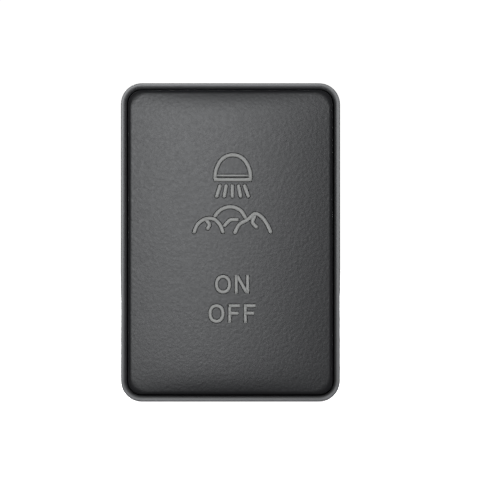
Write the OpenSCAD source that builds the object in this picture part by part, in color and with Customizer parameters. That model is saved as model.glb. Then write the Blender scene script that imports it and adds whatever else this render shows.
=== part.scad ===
// Latching push-button switch for a dashboard opening, in millimetres.
// Every piece is drawn lying on its back: x to the right and y up as the driver sees the face, z towards
// the driver, z = 0 where the collar seats on the panel. upright() then stands it up, so that the face
// looks along -Y and the legend's top points to +Z.

/* [Rim and button] */
// Width of the rim
rim_w = 22.8; // [22.4:0.1:26]
// Height of the rim
rim_h = 33.1; // [32:0.1:38]
// Corner radius of the rim, outside
rim_corner_r = 2.2; // [2:0.1:3]
// Depth of the collar in front of the panel
collar_depth = 7.5; // [6.5:0.1:10]
// Wall of the collar
collar_wall = 0.7; // [0.6:0.05:0.9]
// How far the rim's front is set in from the collar
rim_step = 0.05; // [0.05:0.01:0.15]
// Depth of the set-in front of the rim
rim_step_depth = 1; // [0.5:0.1:2]
// Rounding of the rim's outer edge
rim_outer_round = 0.03; // [0.03:0.01:0.1]
// Width of the rounded slope inside the rim
rim_slope = 0.42; // [0.3:0.01:0.45]
// Radius of the rounded slope inside the rim
rim_inner_round = 1; // [0.6:0.1:2]
// Thickness of the ledge that seats on the panel
ledge_t = 1.2; // [0.8:0.1:1.6]
// Running gap between the collar and the button
button_gap = 0.22; // [0.1:0.01:0.35]
// How far the button's edge stands in front of the rim
button_proud = 1.8; // [1:0.1:3]
// Rise of the face from its long edges to its middle
button_crown = 0.5; // [0.2:0.05:1]
// Fall of the face to the middle of its top and bottom edges
end_fall = 0.28; // [0.1:0.01:0.5]
// Fall of the face along its long edges to its corners
corner_fall = 0.12; // [0:0.01:0.4]
// Power that the face falls with towards its ends; a higher one is fuller
crown_fullness = 12; // [4:1:16]
// Width of the button's rolled edge, seen from the front
button_roll = 0.25; // [0.15:0.01:1]
// Depth of the button's rolled edge
button_roll_depth = 0.12; // [0.05:0.01:0.6]
// Corner radius of the face inside the rolled edge
face_corner_r = 2; // [1.2:0.1:3]
// Thickness of the button's face at its edge
cap_wall = 1.1; // [1:0.1:1.5]
// Thickness of the button's skirt
skirt_wall = 1; // [0.8:0.05:1.2]

/* [Travel and latch] */
// Full travel of the button
press_travel = 2.8; // [2.4:0.1:3.2]
// Travel at which the button stays latched
latch_travel = 2; // [1.7:0.1:2.2]
// Length of the latch wire from pivot to tip
latch_arm = 7.5; // [7:0.1:8]
// Sideways swing of the wire's tip over the full travel
latch_swing = 2.2; // [1.9:0.1:2.4]
// Diameter of the latch wire
latch_wire_d = 0.7; // [0.5:0.05:0.8]
// Depth of the heart-shaped track
track_depth = 1; // [0.8:0.1:1.2]

/* [Body] */
// Width of the body behind the panel
body_w = 20; // [19.6:0.1:21]
// Height of the body behind the panel
body_h = 29.5; // [28.5:0.1:31]
// Depth of the body behind the panel
body_depth = 18; // [17:0.1:21]
// Wall of the body
body_wall = 1.2; // [1:0.05:1.3]
// Corner radius of the body
body_corner_r = 1.4; // [1:0.1:2]
// Thickest panel that the clips hold
panel_t = 2; // [1.5:0.1:3]
// Width of a panel clip's tongue
clip_w = 8; // [6:0.5:10]
// Length of a panel clip's tongue
clip_len = 11; // [9:0.1:12]
// Height of a panel clip's barb
clip_barb = 0.9; // [0.6:0.05:1]

/* [Base and connector] */
// Depth of the base's plug inside the body
plug_depth = 2.5; // [2.2:0.1:3]
// Thickness of the base's flange
flange_t = 1.5; // [1.2:0.1:2]
// Room beside the outer blades in the connector socket
socket_side = 0.75; // [0.5:0.05:0.85]
// Height of the connector socket, inside
socket_h = 11.4; // [11:0.1:14]
// Depth of the connector socket
socket_depth = 11.5; // [11:0.1:14]
// Wall of the connector shroud
shroud_wall = 1.2; // [1:0.05:1.3]
// Wall of the plunger's guide sleeve
sleeve_wall = 1.4; // [1.2:0.05:1.5]
// Thickness of the two arms that hook into the body
arm_t = 1.6; // [1.6:0.05:2]

/* [Contacts] */
// Thickness of the terminal strip
terminal_t = 0.8; // [0.6:0.05:0.9]
// Width of the terminal strip
terminal_w = 2; // [1.6:0.1:2.2]
// Distance of the outer terminals from the lamp board's edge
terminal_inset = 1.25; // [1.1:0.05:1.4]
// Length of a terminal's blade in the socket
blade_len = 10; // [8:0.1:10.5]
// Thickness of the moving contact's strip
contact_t = 0.35; // [0.25:0.05:0.4]
// Travel at which the moving contact meets the load terminal
contact_travel = 1.3; // [1:0.1:1.5]

/* [Plunger and spring] */
// Width of the plunger's stem
stem_w = 9; // [8.8:0.1:9.2]
// Height of the plunger's stem
stem_h = 8; // [7.8:0.1:8.6]
// Outer diameter of the return spring
spring_d = 3.6; // [3.2:0.1:3.8]
// Wire of the return spring
spring_wire = 0.4; // [0.3:0.05:0.5]
// Room for the return spring with the button out
spring_length = 13.5; // [12.5:0.1:14]
// Turns of the return spring
spring_turns = 9; // [7:1:11]

/* [Lamps] */
// Distance of the lamp board behind the panel's front
board_setback = 3.8; // [3.4:0.1:4.2]
// Thickness of the lamp board
board_t = 1; // [0.8:0.1:1.6]
// Thickness of the light guide's plate
guide_t = 1.5; // [1:0.1:1.8]
// Width of a light pipe
pipe_w = 9; // [8:0.1:10]
// Height of a light pipe
pipe_h = 5; // [4:0.1:5.4]
// Distance of the lamps from the middle of the face
lamp_rise = 9.4; // [9:0.1:9.8]

/* [Hidden] */
$fn = 48;

// Clearances
slide_gap = 0.15;
snap_gap = 0.05;
base_gap = 0.1;
loose_gap = 0.2;
travel_spare = 0.3;
track_clear = 0.17;
cut = 0.5;
fuse = 0.3;

// Button
rim_z = collar_depth;
edge_z = rim_z + button_proud;
skirt_z = ledge_t + travel_spare + press_travel;
cap_inner_z = edge_z - cap_wall;
button_w = rim_w - 2 * (collar_wall + button_gap);
button_h = rim_h - 2 * (collar_wall + button_gap);
button_r = rim_corner_r - collar_wall - button_gap;
cavity_w = button_w - 2 * skirt_wall;
cavity_h = button_h - 2 * skirt_wall;
cavity_r = 0.3;
corner_steps = 6;
side_steps = 8;
roll_steps = 6;
crown_steps = 8;
ring_ease = 1.6;

// Joint between the button and the plunger
joint_wall = 1.1;
joint_len = 3.3;
joint_w = stem_w + 2 * base_gap + 2 * joint_wall;
joint_h = stem_h + 2 * base_gap + 2 * joint_wall;
joint_end_z = cap_inner_z - joint_len;
window_w = 3;
window_set = 0.6;
window_len = 1.4;
window_z0 = joint_end_z + window_set;
window_z1 = window_z0 + window_len;
bump_h = 0.5;
post_d = 1.6;
post_head_d = 2.4;
post_head_t = 0.5;
post_side = 1.9;
post_end = 2.4;
post_x = cavity_w / 2 - post_side;
post_y = cavity_h / 2 - post_end;

// Body and clips
ledge_lap = 0.9;
ledge_in = collar_wall + ledge_lap / 2;
body_in_w = body_w - 2 * body_wall;
body_in_h = body_h - 2 * body_wall;
body_in_r = 0.4;
clip_slot = 0.8;
clip_root_z = -panel_t - clip_len;
barb_len = 5.8;
barb_trim = 1;
barb_set = 0.2;
barb_land = 0.5;

// Base
plug_front_z = plug_depth - body_depth;
flange_front_z = -body_depth;
flange_rear_z = flange_front_z - flange_t;
mouth_z = flange_rear_z - socket_depth;
board_gap = 0.2;
board_w = body_in_w - 2 * board_gap;
board_h = body_in_h - 2 * board_gap;
board_front_z = -board_setback;
board_rear_z = board_front_z - board_t;
outer_x = board_w / 2 - terminal_inset;
inner_x = outer_x / 3;
sleeve_in_w = stem_w + 2 * slide_gap;
sleeve_in_h = stem_h + 2 * slide_gap;
sleeve_w = sleeve_in_w + 2 * sleeve_wall;
sleeve_h = sleeve_in_h + 2 * sleeve_wall;
socket_w = 2 * (outer_x + terminal_t / 2 + socket_side);
shroud_r = 1.6;
socket_r = 0.6;
lock_w = 5;
lock_set = 3;
lock_len = 3;
lock_z0 = mouth_z + lock_set;
lock_z1 = lock_z0 + lock_len;
key_w = 2.4;
key_len = 5;
arm_w = 12;
arm_outer_y = body_in_h / 2 - slide_gap;
hook_w = 6.6;
hook_h = 1;
hook_set = 3.1;
hook_rear_z = plug_front_z + hook_set;
hook_len = 2.4;
peg_d = 1.2;
peg_head_d = 1.8;
peg_head_t = 0.5;
peg_x = 4.5;
peg_y = arm_outer_y - peg_head_d / 2;

// Plunger and spring
rear_clear = 1.2;
stem_rear_z = plug_front_z + press_travel + rear_clear;
spring_floor_z = plug_front_z + spring_length;
spring_bore_room = 0.6;
spring_boss_room = 0.4;
spring_bore_d = spring_d + spring_bore_room;
spring_boss_d = spring_d - 2 * spring_wire - spring_boss_room;
spring_boss_len = 2;
spring_fit = 0.05;
core_wall = 1.7;
core_floor = 1.4;
lug_w = 3;
lug_h = 1;
lug_set = 1.5;
lug_len = 1.4;
lug_land = 0.4;
lug_rear_z = stem_rear_z + lug_set;
lug_front_z = lug_rear_z + lug_len;
coil_steps = 14;
wire_sides = 8;

// Latch
pivot_set = 1.3;
pivot_z = plug_front_z + pivot_set;
tip_z = pivot_z + latch_arm;
swing_deg = asin(latch_swing / latch_arm);
track_w = latch_wire_d + 2 * track_clear;
track_start = [0, tip_z];
track_in = [latch_swing, pivot_z + latch_arm * cos(swing_deg) + press_travel];
track_hold = [0, tip_z + latch_travel];
track_out = [-track_in.x, track_in.y];
pivot_block_w = 5;
pivot_block_h = 0.65;
pivot_cover = 1.4;
pivot_block_z = pivot_z + pivot_cover;
pivot_top_y = sleeve_h / 2 + pivot_block_h;
wire_bend = 0.6;
wire_y = pivot_top_y + wire_bend + snap_gap;
wire_tip_gap = 0.2;
wire_tip_y = stem_h / 2 - track_depth + wire_tip_gap;
wire_pivot_gap = 0.25;
wire_pivot_y = sleeve_in_h / 2 + wire_pivot_gap;
latch_slot_side = 0.35;
latch_slot_set = 1.3;
latch_slot_w = 2 * (latch_swing + latch_wire_d / 2 + latch_slot_side);
leaf_t = 0.25;
leaf_w = 3;
leaf_rise = 1.2;
leaf_foot = 1.5;
leaf_root = 0.5;
leaf_toe = 1.2;
leaf_lift = 0.3;
leaf_touch_y = wire_y + latch_wire_d / 2 + snap_gap + leaf_t / 2;
leaf_share = 0.6;
leaf_touch_z = pivot_z + leaf_share * latch_arm;
leaf_y = leaf_touch_y + leaf_rise;
leaf_path = [[leaf_y, plug_front_z - leaf_foot], [leaf_y, plug_front_z + leaf_root],
    [leaf_touch_y, leaf_touch_z], [leaf_touch_y + leaf_lift, leaf_touch_z + leaf_toe]];

// Contacts
contact_w = 3;
contact_leg = 3.2;
contact_plate_h = 6;
contact_set = 0.1;
contact_out_x = stem_w / 2 - contact_set;
dimple_r = 0.7;
dimple_top_r = 0.3;
dimple_set = 2.2;
dimple_z = stem_rear_z + dimple_set;
dimple_gap = 0.03;
terminal_fit = 0.05;
blade_tip_z = flange_rear_z - blade_len;
blade_taper = 1;
strip_x = sleeve_in_w / 2 + terminal_t / 2;
strip_step = 0.7;
jog_rear = 0.6;
jog_front = 1.3;
jog_rear_z = flange_front_z - jog_rear;
jog_front_z = plug_front_z - jog_front;
load_edge_z = dimple_z - contact_travel;
supply_run = 1.7;
supply_end_z = dimple_z + supply_run;
pin_w = 0.9;
pin_shift = 0.5;
pin_shoulder = 0.6;
pin_proud = 0.6;
pin_end_z = board_front_z + pin_proud;
supply_path = [[-inner_x, blade_tip_z], [-inner_x, jog_rear_z], [-strip_x, jog_front_z],
    [-strip_x, supply_end_z]];
load_path = [[inner_x, blade_tip_z], [inner_x, jog_rear_z], [strip_x, jog_front_z], [strip_x, load_edge_z],
    [strip_x + strip_step, load_edge_z + strip_step], [strip_x + strip_step, pin_end_z]];
ground_path = [[-outer_x, blade_tip_z], [-outer_x, pin_end_z]];
dimmer_path = [[outer_x, blade_tip_z], [outer_x, pin_end_z]];
solder_r = 0.8;
solder_top_r = 0.62;
solder_h = 0.45;

// Lamps
board_r = 0.5;
board_hole_gap = 0.25;
lamp_l = 3.5;
lamp_w = 2.8;
lamp_t = 1.9;
lamp_cup_d = 2.4;
lamp_cup_depth = 0.5;
lamp_cup_taper = 0.6;
lamp_lead = 0.25;
lamp_x = 2.3;
pipe_clear = 0.5;
pipe_end_z = board_front_z + lamp_t + pipe_clear + press_travel;
pipe_r = 1.2;
chip_inset = 1.9;
chip_x = board_w / 2 - chip_inset;
chip_y = 5.4;
chip_lift = 0.04;
resistor_w = 1.5;
resistor_l = 2.9;
resistor_h = 0.55;
resistor_cap = 0.6;
resistor_cap_skin = 0.05;
diode_w = 1.7;
diode_l = 2.7;
diode_h = 1.1;
diode_lead_w = 0.7;
diode_lead_l = 1.2;
diode_lead_t = 0.2;
resistor_body = [resistor_w, resistor_l, resistor_h];
resistor_caps = [resistor_w + 2 * resistor_cap_skin, resistor_cap, resistor_h + resistor_cap_skin];
diode_body = [diode_w, diode_l, diode_h];
diode_leads = [diode_lead_w, diode_lead_l, diode_lead_t];

module upright() rotate([90, 0, 0]) children();

// Box between two opposite corners
module span(low, high) translate(low) cube(high - low);

// Outline raised from one height to another
module slab(z0, z1) translate([0, 0, z0]) linear_extrude(z1 - z0) children();

// Outline in x and z, given its thickness along y about the middle
module across(t) rotate([90, 0, 0]) linear_extrude(t, center = true) children();

// Outline in y and z, given its width along x about the middle
module sideways(w) rotate([90, 0, 90]) linear_extrude(w, center = true) children();

module both(axis) {
    children();
    mirror(axis) children();
}

module round_rect(w, h, r) {
    square([w - 2 * r, h], center = true);
    square([w, h - 2 * r], center = true);
    for (x = [-1, 1], y = [-1, 1]) translate([x * (w / 2 - r), y * (h / 2 - r)]) circle(r);
}

// Profile carried round a rounded rectangle; its x is measured from the centre of the corner arcs
module carried_round(w, h, r) {
    for (turn = [0 : 3]) {
        reach = turn % 2 == 0 ? w : h;
        run = turn % 2 == 0 ? h : w;
        rotate(90 * turn) translate([reach / 2 - r, 0, 0]) {
            rotate([90, 0, 0]) linear_extrude(run - 2 * r, center = true) children();
            translate([0, run / 2 - r, 0]) rotate_extrude(angle = 90) children();
        }
    }
}

// Straight stroke of even width with round ends
module stroke(from, to, w) {
    run = to - from;
    translate(from) rotate(atan2(run.y, run.x)) translate([0, -w / 2]) square([norm(run), w]);
    for (end = [from, to]) translate(end) circle(w / 2);
}

module stroked(path, w) {
    for (i = [0 : len(path) - 2]) stroke(path[i], path[i + 1], w);
}

// Loft through closed rings of n points each; a fan to the middle of its ring closes each end
function middle(ring) = [for (p = ring) 1] * ring / len(ring);
function loft_faces(rings, n) = [for (i = [0 : n - 1])
    let (next = (i + 1) % n, top = (rings - 1) * n) each concat(
        [[rings * n, i, next], [rings * n + 1, top + next, top + i]],
        [for (k = [0 : rings - 2]) each [
            [k * n + i, (k + 1) * n + i, (k + 1) * n + next],
            [k * n + i, (k + 1) * n + next, k * n + next]]])];

module loft(rings) {
    ends = [middle(rings[0]), middle(rings[len(rings) - 1])];
    polyhedron(concat([for (ring = rings) each ring], ends), loft_faces(len(rings), len(rings[0])));
}

// Points round a rounded rectangle, counter-clockwise
function corner_point(i, k, w, h, r) =
    [(i == 0 || i == 3 ? 1 : -1) * (w / 2 - r), (i < 2 ? 1 : -1) * (h / 2 - r)]
    + r * [cos(90 * (i + k / corner_steps)), sin(90 * (i + k / corner_steps))];
function outline(w, h, r) = [for (i = [0 : 3]) each concat(
    [for (k = [0 : corner_steps]) corner_point(i, k, w, h, r)],
    [for (m = [1 : side_steps - 1]) corner_point(i, corner_steps, w, h, r) * (1 - m / side_steps)
        + corner_point((i + 1) % 4, 0, w, h, r) * m / side_steps])];
function button_outline(inset) = outline(button_w - 2 * inset, button_h - 2 * inset,
    button_r + (face_corner_r - button_r) * inset / button_roll);

// Pillow form of the button: crowned across, falling away towards both ends, less an elliptical roll
function share_x(p) = 2 * p.x / button_w;
function share_y(p) = 2 * abs(p.y) / button_h;
function crown_rise(p) = button_crown * (1 - pow(share_x(p), 2))
    - (end_fall + (corner_fall - end_fall) * pow(share_x(p), 2)) * pow(share_y(p), crown_fullness);
function ring_scale(j) = 1 - pow(j / crown_steps, ring_ease);
function crowned(ring, drop) = [for (p = ring) [p.x, p.y, edge_z + crown_rise(p) - drop]];
function at_height(ring, z) = [for (p = ring) [p.x, p.y, z]];
pillow_rings = concat(
    [at_height(button_outline(0), skirt_z)],
    [for (k = [0 : roll_steps]) crowned(button_outline(button_roll * (1 - cos(90 * k / roll_steps))),
        button_roll_depth * (1 - sin(90 * k / roll_steps)))],
    [for (j = [1 : crown_steps - 1]) crowned(button_outline(button_roll) * ring_scale(j), 0)]);

// Coil with closed end turns: the wire climbs by its own thickness in the first and last turn
function coil_z(turn, z0, z1) = let (rise = z1 - z0 - 3 * spring_wire)
    z0 + spring_wire / 2 + spring_wire * (min(turn, 1) + max(0, turn - spring_turns + 1))
    + rise * min(max((turn - 1) / (spring_turns - 2), 0), 1);
function coil_ring(turn, z0, z1) = [for (j = [0 : wire_sides - 1])
    let (a = 360 * j / wire_sides, r = (spring_d - spring_wire) / 2 + spring_wire / 2 * sin(a))
    [r * cos(360 * turn), r * sin(360 * turn), coil_z(turn, z0, z1) + spring_wire / 2 * cos(a)]];

// Section of the collar: set-in rim with a rounded slope inside, wall, and the outer part of the ledge
module collar_profile() {
    inner = rim_corner_r - collar_wall;
    slope_end = inner + rim_slope;
    front = rim_corner_r - rim_step;
    translate([inner - ledge_lap, 0]) square([collar_wall + ledge_lap, ledge_t]);
    translate([inner, 0]) square([collar_wall, rim_z - rim_step_depth]);
    translate([inner, 0]) square([rim_slope, rim_z - rim_inner_round]);
    intersection() {
        translate([inner, 0]) square([rim_slope, rim_z]);
        translate([slope_end, rim_z - rim_inner_round]) circle(rim_inner_round);
    }
    translate([slope_end, 0]) square([front - slope_end - rim_outer_round, rim_z]);
    translate([front - rim_outer_round, 0]) square([rim_outer_round, rim_z - rim_outer_round]);
    translate([front - rim_outer_round, rim_z - rim_outer_round]) circle(rim_outer_round);
}

module clip_barb_solid() {
    catch_z = -panel_t - barb_set;
    root_x = body_w / 2 - body_wall / 2;
    across(clip_w - 2 * barb_trim)
        polygon([[root_x, catch_z], [body_w / 2 + clip_barb, catch_z],
            [body_w / 2 + clip_barb, catch_z - barb_land], [body_w / 2, catch_z - barb_len],
            [root_x, catch_z - barb_len]]);
}

// U-shaped slot that frees a clip's tongue on three sides
module clip_slot_cut() {
    half = clip_w / 2;
    front_z = -panel_t;
    for (side = [-1, 1]) translate([0, side * (half + clip_slot / 2), 0])
        span([body_w / 2 - body_wall - cut, -clip_slot / 2, clip_root_z],
            [body_w / 2 + cut, clip_slot / 2, front_z + clip_slot]);
    span([body_w / 2 - body_wall - cut, -half, front_z], [body_w / 2 + cut, half, front_z + clip_slot]);
}

// Rim, collar, ledge and body in one moulding
module housing() color("#2b2b2d") upright() {
    difference() {
        union() {
            carried_round(rim_w, rim_h, rim_corner_r) collar_profile();
            slab(0, ledge_t) difference() {
                round_rect(rim_w - 2 * ledge_in, rim_h - 2 * ledge_in, rim_corner_r - ledge_in);
                round_rect(body_in_w, body_in_h, body_in_r);
            }
            slab(-body_depth, 0) difference() {
                round_rect(body_w, body_h, body_corner_r);
                round_rect(body_in_w, body_in_h, body_in_r);
            }
            both([1, 0, 0]) clip_barb_solid();
        }
        both([1, 0, 0]) clip_slot_cut();
        both([0, 1, 0])
            span([-hook_w / 2 - loose_gap, body_in_h / 2 - cut, hook_rear_z - snap_gap],
                [hook_w / 2 + loose_gap, body_h / 2 + cut, hook_rear_z + hook_len + loose_gap]);
    }
}

// Terminal: a bent strip seen from above, trimmed to its widths seen from the side
module terminal_form(path, shoulder_z, shift, fit) {
    half = terminal_w / 2 + fit;
    tip = half - blade_taper / 2;
    pin_low = shift - pin_w / 2 - fit;
    pin_high = shift + pin_w / 2 + fit;
    tip_end_z = blade_tip_z - terminal_t / 2 - fit;
    intersection() {
        across(terminal_w + 2 * fit + 2 * cut) stroked(path, terminal_t + 2 * fit);
        sideways(body_w)
            polygon([[-tip, tip_end_z], [tip, tip_end_z], [half, tip_end_z + blade_taper],
                [half, shoulder_z + fit], [pin_high, shoulder_z + fit], [pin_high, pin_end_z + 2 * cut],
                [pin_low, pin_end_z + 2 * cut], [pin_low, shoulder_z + fit], [-half, shoulder_z + fit],
                [-half, tip_end_z + blade_taper]]);
    }
}

module supply_form(fit) terminal_form(supply_path, supply_end_z + terminal_t, 0, fit);
module load_form(fit) terminal_form(load_path, load_edge_z + terminal_t / 2, -pin_shift, fit);
module ground_form(fit) terminal_form(ground_path, plug_front_z + pin_shoulder, pin_shift, fit);
module dimmer_form(fit) terminal_form(dimmer_path, plug_front_z + pin_shoulder, pin_shift, fit);

module terminals(fit) {
    supply_form(fit);
    load_form(fit);
    ground_form(fit);
    dimmer_form(fit);
}

// Arm that hooks into the body's window and carries one end of the lamp board
module base_arm() {
    span([-arm_w / 2, arm_outer_y - arm_t, plug_front_z], [arm_w / 2, arm_outer_y, board_rear_z]);
    sideways(hook_w)
        polygon([[arm_outer_y - arm_t / 2, hook_rear_z], [arm_outer_y + hook_h, hook_rear_z],
            [arm_outer_y, hook_rear_z + hook_len], [arm_outer_y - arm_t / 2, hook_rear_z + hook_len]]);
    for (x = [-peg_x, peg_x]) translate([x, peg_y, 0]) {
        slab(board_rear_z, board_front_z) circle(d = peg_d);
        slab(board_front_z, board_front_z + peg_head_t) circle(d = peg_head_d);
    }
}

// Closes the body; sleeve, arms and spring boss in front, connector shroud behind
module rear_base() color("#3a3a3c") upright() {
    difference() {
        union() {
            slab(flange_front_z, plug_front_z)
                round_rect(body_in_w - 2 * base_gap, body_in_h - 2 * base_gap, body_in_r);
            slab(flange_rear_z, flange_front_z) round_rect(body_w, body_h, body_corner_r);
            slab(mouth_z, flange_rear_z) difference() {
                round_rect(socket_w + 2 * shroud_wall, socket_h + 2 * shroud_wall, shroud_r);
                round_rect(socket_w, socket_h, socket_r);
            }
            slab(plug_front_z, board_rear_z) difference() {
                square([sleeve_w, sleeve_h], center = true);
                square([sleeve_in_w, sleeve_in_h], center = true);
            }
            span([-pivot_block_w / 2, sleeve_h / 2 - sleeve_wall / 2, plug_front_z],
                [pivot_block_w / 2, pivot_top_y, pivot_block_z]);
            slab(plug_front_z, plug_front_z + spring_boss_len) circle(d = spring_boss_d);
            both([0, 1, 0]) base_arm();
        }
        terminals(terminal_fit);
        // Slot that the latch wire's tip swings in
        span([-latch_slot_w / 2, sleeve_in_h / 2 - cut, tip_z - latch_slot_set],
            [latch_slot_w / 2, sleeve_h / 2 + cut, board_rear_z + cut]);
        // Slot that stops the plunger's lug
        span([-lug_w / 2 - loose_gap, -sleeve_h / 2 - cut, lug_rear_z - press_travel - travel_spare],
            [lug_w / 2 + loose_gap, -sleeve_in_h / 2 + cut, lug_front_z + snap_gap]);
        translate([0, sleeve_h / 2, pivot_z]) rotate([90, 0, 0])
            cylinder(d = latch_wire_d + 2 * snap_gap, h = 2 * sleeve_wall + 2 * pivot_block_h, center = true);
        span([-leaf_w / 2 - snap_gap, leaf_y - leaf_t / 2 - snap_gap, plug_front_z - leaf_foot - leaf_t],
            [leaf_w / 2 + snap_gap, leaf_y + leaf_t / 2 + snap_gap, plug_front_z + cut]);
        // Window for the plug's lock and slot for its key
        span([-lock_w / 2, socket_h / 2 - cut, lock_z0],
            [lock_w / 2, socket_h / 2 + shroud_wall + cut, lock_z1]);
        span([-key_w / 2, -socket_h / 2 - shroud_wall - cut, mouth_z - cut],
            [key_w / 2, -socket_h / 2 + cut, mouth_z + key_len]);
    }
}

// Crowned button with a hollow back, a socket for the plunger and posts for the light guide
module button_cap() color("#1c1c1d") upright() {
    difference() {
        loft(pillow_rings);
        slab(skirt_z - cut, cap_inner_z) round_rect(cavity_w, cavity_h, cavity_r);
    }
    difference() {
        slab(joint_end_z, cap_inner_z) difference() {
            square([joint_w, joint_h], center = true);
            square([joint_w - 2 * joint_wall, joint_h - 2 * joint_wall], center = true);
        }
        span([-joint_w / 2 - cut, -window_w / 2, window_z0], [joint_w / 2 + cut, window_w / 2, window_z1]);
    }
    for (x = [-post_x, post_x], y = [-post_y, post_y]) translate([x, y, 0]) {
        slab(cap_inner_z - guide_t, cap_inner_z) circle(d = post_d);
        slab(cap_inner_z - guide_t - post_head_t, cap_inner_z - guide_t) circle(d = post_head_d);
    }
}

// Clear plate behind the legend with a light pipe to each pair of lamps
module light_guide() color("#e8ecef") upright() {
    slab(cap_inner_z - guide_t, cap_inner_z) difference() {
        round_rect(cavity_w - 2 * loose_gap, cavity_h - 2 * loose_gap, cavity_r);
        square([joint_w + 2 * loose_gap, joint_h + 2 * loose_gap], center = true);
        for (x = [-post_x, post_x], y = [-post_y, post_y])
            translate([x, y]) circle(d = post_d + 2 * snap_gap);
    }
    for (y = [-lamp_rise, lamp_rise]) translate([0, y, 0])
        slab(pipe_end_z, cap_inner_z - guide_t) round_rect(pipe_w, pipe_h, pipe_r);
}

// Heart-shaped track: in along one leg, back to the hold in its notch, and out along the other
module heart_track() {
    stroke(track_start, track_in, track_w);
    stroke(track_in, track_hold, track_w);
    stroke(track_hold, track_out, track_w);
    stroke(track_out, track_start, track_w);
}

module plunger() color("#e9e6dc") upright() {
    difference() {
        union() {
            slab(stem_rear_z, cap_inner_z) square([stem_w, stem_h], center = true);
            both([1, 0, 0]) across(window_w - 2 * loose_gap)
                polygon([[stem_w / 2 - fuse, window_z0 + snap_gap],
                    [stem_w / 2 + bump_h, window_z0 + snap_gap], [stem_w / 2, window_z1 - snap_gap],
                    [stem_w / 2 - fuse, window_z1 - snap_gap]]);
            sideways(lug_w)
                polygon([[-stem_h / 2 + fuse, lug_front_z], [-stem_h / 2 - lug_h, lug_front_z],
                    [-stem_h / 2 - lug_h, lug_front_z - lug_land], [-stem_h / 2, lug_rear_z],
                    [-stem_h / 2 + fuse, lug_rear_z]]);
        }
        slab(stem_rear_z - cut, spring_floor_z) circle(d = spring_bore_d);
        slab(spring_floor_z + core_floor, cap_inner_z + cut)
            square([stem_w - 2 * core_wall, stem_h - 2 * core_wall], center = true);
        translate([0, (stem_h - track_depth + cut) / 2, 0]) across(track_depth + cut) heart_track();
        both([1, 0, 0])
            span([contact_out_x - contact_t - contact_set, -contact_w / 2 - slide_gap, stem_rear_z - cut],
                [stem_w / 2 + cut, contact_w / 2 + slide_gap, stem_rear_z + contact_leg + slide_gap]);
    }
}

module return_spring() color("#b9bcc0") upright()
    loft([for (k = [0 : spring_turns * coil_steps])
        coil_ring(k / coil_steps, plug_front_z + spring_fit, spring_floor_z - spring_fit)]);

// Staple of wire: one leg turns in the base, the other rides in the heart-shaped track
module latch_pin() color("#c8cbcf") upright() {
    rotate([0, -90, 0]) {
        translate([tip_z, wire_tip_y, 0]) rotate([-90, 0, 0])
            cylinder(d = latch_wire_d, h = wire_y - wire_bend - wire_tip_y);
        translate([pivot_z, wire_pivot_y, 0]) rotate([-90, 0, 0])
            cylinder(d = latch_wire_d, h = wire_y - wire_bend - wire_pivot_y);
        translate([pivot_z + wire_bend, wire_y, 0]) rotate([0, 90, 0])
            cylinder(d = latch_wire_d, h = latch_arm - 2 * wire_bend);
        translate([tip_z - wire_bend, wire_y - wire_bend, 0])
            rotate_extrude(angle = 90) translate([wire_bend, 0]) circle(d = latch_wire_d);
        translate([pivot_z + wire_bend, wire_y - wire_bend, 0]) rotate(90)
            rotate_extrude(angle = 90) translate([wire_bend, 0]) circle(d = latch_wire_d);
    }
}

module latch_leaf() color("#a9adb3") upright() sideways(leaf_w) stroked(leaf_path, leaf_t);

// Clip that straddles the plunger's rear end, with a contact dimple on each leg
module moving_contact() color("#b87345") upright() {
    difference() {
        span([-contact_out_x, -contact_plate_h / 2, stem_rear_z - contact_t],
            [contact_out_x, contact_plate_h / 2, stem_rear_z]);
        slab(stem_rear_z - contact_t - cut, stem_rear_z + cut) circle(d = spring_bore_d);
    }
    both([1, 0, 0]) {
        span([contact_out_x - contact_t, -contact_w / 2, stem_rear_z - contact_t],
            [contact_out_x, contact_w / 2, stem_rear_z + contact_leg]);
        translate([contact_out_x, 0, dimple_z]) rotate([0, 90, 0])
            cylinder(r1 = dimple_r, r2 = dimple_top_r, h = sleeve_in_w / 2 - dimple_gap - contact_out_x);
    }
}

module terminal_supply() color("#cdb27a") upright() supply_form(0);
module terminal_load() color("#cdb27a") upright() load_form(0);
module terminal_ground() color("#cdb27a") upright() ground_form(0);
module terminal_dimmer() color("#cdb27a") upright() dimmer_form(0);

module lamp_board() color("#1f5a35") upright() difference() {
    slab(board_rear_z, board_front_z) difference() {
        round_rect(board_w, board_h, board_r);
        square([stem_w + 2 * board_hole_gap, stem_h + 2 * board_hole_gap], center = true);
        for (x = [-peg_x, peg_x], y = [-peg_y, peg_y]) translate([x, y]) circle(d = peg_d + 2 * snap_gap);
    }
    terminals(terminal_fit);
}

// Surface-mounted lamp with its light-giving cup and a lead at each end
module lamp(x, y) translate([x, y, board_front_z]) {
    difference() {
        slab(0, lamp_t) square([lamp_w, lamp_l], center = true);
        translate([0, 0, lamp_t - lamp_cup_depth])
            cylinder(d1 = lamp_cup_d - lamp_cup_taper, d2 = lamp_cup_d, h = lamp_cup_depth);
    }
    both([0, 1, 0]) span([-lamp_w / 3, lamp_l / 2, 0], [lamp_w / 3, lamp_l / 2 + lamp_lead, lamp_t / 2]);
}

module legend_lamp_upper() color("#f2f0e6") upright() lamp(-lamp_x, lamp_rise);
module legend_lamp_lower() color("#f2f0e6") upright() lamp(-lamp_x, -lamp_rise);
module state_lamp() color("#d9e7c9") upright() lamp(lamp_x, -lamp_rise);

// Chip component: a body between two wrap-around ends
module chip(x, y, body, ends) translate([x, y, board_front_z]) {
    slab(chip_lift, body.z) square([body.x, body.y], center = true);
    both([0, 1, 0])
        span([-ends.x / 2, body.y / 2 - ends.y / 2, 0], [ends.x / 2, body.y / 2 + ends.y / 2, ends.z]);
}

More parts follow.
